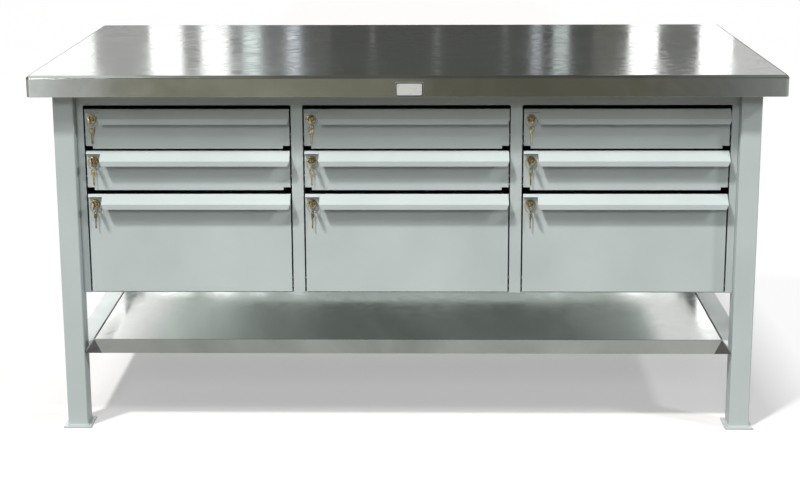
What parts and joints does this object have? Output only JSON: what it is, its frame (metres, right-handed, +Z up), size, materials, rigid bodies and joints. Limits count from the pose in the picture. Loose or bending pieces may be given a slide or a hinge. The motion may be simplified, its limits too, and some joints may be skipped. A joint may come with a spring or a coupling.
{
  "type": "jewelers bench",
  "caption": "Industrial workbench with a stainless top and lower shelf, painted square-tube legs on foot plates, and banks of lockable sliding drawers with formed pulls, keys and spare keys.",
  "frame": {"origin": "on the floor under the middle of the bench", "axes": "+X along the bench to the right, +Y from front to back, +Z up"},
  "size_m": [1.8288, 0.9159, 0.9144],
  "materials": {
    "paint": "satin grey-green enamel",
    "stainless": "polished stainless with fine scuffs",
    "brass": "worn brass",
    "key_steel": "nickel plate",
    "plate_enamel": "satin white enamel",
    "core_board": "raw particle board"
  },
  "bodies": {
    "bench": {"bench_top": "stainless", "top_core": "core_board", "name_plate": "plate_enamel", "leg_front_left": "paint", "leg_front_right": "paint", "leg_rear_left": "paint", "leg_rear_right": "paint", "apron_left": "paint", "apron_right": "paint", "apron_rear": "paint", "face_frame": "paint", "cabinet_side_left": "paint", "cabinet_side_right": "paint", "divider_left": "paint", "divider_right": "paint", "cabinet_back": "paint", "cabinet_bottom": "paint", "shelf": "stainless", "shelf_rail_left": "paint", "shelf_rail_right": "paint"},
    "drawer_left_upper": {"drawer_left_upper": "paint", "lock_left_upper": "brass"},
    "key_left_upper": {"key_left_upper": "key_steel"},
    "spare_key_left_upper": {"spare_key_left_upper": "brass"},
    "drawer_left_middle": {"drawer_left_middle": "paint", "lock_left_middle": "brass"},
    "key_left_middle": {"key_left_middle": "key_steel"},
    "spare_key_left_middle": {"spare_key_left_middle": "brass"},
    "drawer_left_lower": {"drawer_left_lower": "paint", "lock_left_lower": "brass", "tray_left_lower": "paint"},
    "key_left_lower": {"key_left_lower": "key_steel"},
    "spare_key_left_lower": {"spare_key_left_lower": "brass"},
    "drawer_centre_upper": {"drawer_centre_upper": "paint", "lock_centre_upper": "brass"},
    "key_centre_upper": {"key_centre_upper": "key_steel"},
    "spare_key_centre_upper": {"spare_key_centre_upper": "brass"},
    "drawer_centre_middle": {"drawer_centre_middle": "paint", "lock_centre_middle": "brass"},
    "key_centre_middle": {"key_centre_middle": "key_steel"},
    "spare_key_centre_middle": {"spare_key_centre_middle": "brass"},
    "drawer_centre_lower": {"drawer_centre_lower": "paint", "lock_centre_lower": "brass", "tray_centre_lower": "paint"},
    "key_centre_lower": {"key_centre_lower": "key_steel"},
    "spare_key_centre_lower": {"spare_key_centre_lower": "brass"},
    "drawer_right_upper": {"drawer_right_upper": "paint", "lock_right_upper": "brass"},
    "key_right_upper": {"key_right_upper": "key_steel"},
    "spare_key_right_upper": {"spare_key_right_upper": "brass"},
    "drawer_right_middle": {"drawer_right_middle": "paint", "lock_right_middle": "brass"},
    "key_right_middle": {"key_right_middle": "key_steel"},
    "spare_key_right_middle": {"spare_key_right_middle": "brass"},
    "drawer_right_lower": {"drawer_right_lower": "paint", "lock_right_lower": "brass", "tray_right_lower": "paint"},
    "key_right_lower": {"key_right_lower": "key_steel"},
    "spare_key_right_lower": {"spare_key_right_lower": "brass"}
  },
  "joints": [
    {"name": "drawer_left_upper_slide", "type": "slide", "parent": "bench", "child": "drawer_left_upper", "axis": [0, -1, 0], "range_m": [0, 0.457]},
    {"name": "key_left_upper_turn", "type": "hinge", "parent": "drawer_left_upper", "child": "key_left_upper", "pos_m": [-0.7734, -0.381, 0.79582], "axis": [0, 1, 0], "range_deg": [0, 90]},
    {"name": "spare_key_left_upper_swing", "type": "hinge", "parent": "drawer_left_upper", "child": "spare_key_left_upper", "pos_m": [-0.7734, -0.381, 0.79582], "axis": [0, 1, 0], "range_deg": [-30, 30]},
    {"name": "drawer_left_middle_slide", "type": "slide", "parent": "bench", "child": "drawer_left_middle", "axis": [0, -1, 0], "range_m": [0, 0.457]},
    {"name": "key_left_middle_turn", "type": "hinge", "parent": "drawer_left_middle", "child": "key_left_middle", "pos_m": [-0.7734, -0.381, 0.69082], "axis": [0, 1, 0], "range_deg": [0, 90]},
    {"name": "spare_key_left_middle_swing", "type": "hinge", "parent": "drawer_left_middle", "child": "spare_key_left_middle", "pos_m": [-0.7734, -0.381, 0.69082], "axis": [0, 1, 0], "range_deg": [-30, 30]},
    {"name": "drawer_left_lower_slide", "type": "slide", "parent": "bench", "child": "drawer_left_lower", "axis": [0, -1, 0], "range_m": [0, 0.457]},
    {"name": "key_left_lower_turn", "type": "hinge", "parent": "drawer_left_lower", "child": "key_left_lower", "pos_m": [-0.7734, -0.381, 0.58132], "axis": [0, 1, 0], "range_deg": [0, 90]},
    {"name": "spare_key_left_lower_swing", "type": "hinge", "parent": "drawer_left_lower", "child": "spare_key_left_lower", "pos_m": [-0.7734, -0.381, 0.58132], "axis": [0, 1, 0], "range_deg": [-30, 30]},
    {"name": "drawer_centre_upper_slide", "type": "slide", "parent": "bench", "child": "drawer_centre_upper", "axis": [0, -1, 0], "range_m": [0, 0.457]},
    {"name": "key_centre_upper_turn", "type": "hinge", "parent": "drawer_centre_upper", "child": "key_centre_upper", "pos_m": [-0.23387, -0.381, 0.79582], "axis": [0, 1, 0], "range_deg": [0, 90]},
    {"name": "spare_key_centre_upper_swing", "type": "hinge", "parent": "drawer_centre_upper", "child": "spare_key_centre_upper", "pos_m": [-0.23387, -0.381, 0.79582], "axis": [0, 1, 0], "range_deg": [-30, 30]},
    {"name": "drawer_centre_middle_slide", "type": "slide", "parent": "bench", "child": "drawer_centre_middle", "axis": [0, -1, 0], "range_m": [0, 0.457]},
    {"name": "key_centre_middle_turn", "type": "hinge", "parent": "drawer_centre_middle", "child": "key_centre_middle", "pos_m": [-0.23387, -0.381, 0.69082], "axis": [0, 1, 0], "range_deg": [0, 90]},
    {"name": "spare_key_centre_middle_swing", "type": "hinge", "parent": "drawer_centre_middle", "child": "spare_key_centre_middle", "pos_m": [-0.23387, -0.381, 0.69082], "axis": [0, 1, 0], "range_deg": [-30, 30]},
    {"name": "drawer_centre_lower_slide", "type": "slide", "parent": "bench", "child": "drawer_centre_lower", "axis": [0, -1, 0], "range_m": [0, 0.457]},
    {"name": "key_centre_lower_turn", "type": "hinge", "parent": "drawer_centre_lower", "child": "key_centre_lower", "pos_m": [-0.23387, -0.381, 0.58132], "axis": [0, 1, 0], "range_deg": [0, 90]},
    {"name": "spare_key_centre_lower_swing", "type": "hinge", "parent": "drawer_centre_lower", "child": "spare_key_centre_lower", "pos_m": [-0.23387, -0.381, 0.58132], "axis": [0, 1, 0], "range_deg": [-30, 30]},
    {"name": "drawer_right_upper_slide", "type": "slide", "parent": "bench", "child": "drawer_right_upper", "axis": [0, -1, 0], "range_m": [0, 0.457]},
    {"name": "key_right_upper_turn", "type": "hinge", "parent": "drawer_right_upper", "child": "key_right_upper", "pos_m": [0.30567, -0.381, 0.79582], "axis": [0, 1, 0], "range_deg": [0, 90]},
    {"name": "spare_key_right_upper_swing", "type": "hinge", "parent": "drawer_right_upper", "child": "spare_key_right_upper", "pos_m": [0.30567, -0.381, 0.79582], "axis": [0, 1, 0], "range_deg": [-30, 30]},
    {"name": "drawer_right_middle_slide", "type": "slide", "parent": "bench", "child": "drawer_right_middle", "axis": [0, -1, 0], "range_m": [0, 0.457]},
    {"name": "key_right_middle_turn", "type": "hinge", "parent": "drawer_right_middle", "child": "key_right_middle", "pos_m": [0.30567, -0.381, 0.69082], "axis": [0, 1, 0], "range_deg": [0, 90]},
    {"name": "spare_key_right_middle_swing", "type": "hinge", "parent": "drawer_right_middle", "child": "spare_key_right_middle", "pos_m": [0.30567, -0.381, 0.69082], "axis": [0, 1, 0], "range_deg": [-30, 30]},
    {"name": "drawer_right_lower_slide", "type": "slide", "parent": "bench", "child": "drawer_right_lower", "axis": [0, -1, 0], "range_m": [0, 0.457]},
    {"name": "key_right_lower_turn", "type": "hinge", "parent": "drawer_right_lower", "child": "key_right_lower", "pos_m": [0.30567, -0.381, 0.58132], "axis": [0, 1, 0], "range_deg": [0, 90]},
    {"name": "spare_key_right_lower_swing", "type": "hinge", "parent": "drawer_right_lower", "child": "spare_key_right_lower", "pos_m": [0.30567, -0.381, 0.58132], "axis": [0, 1, 0], "range_deg": [-30, 30]}
  ]
}
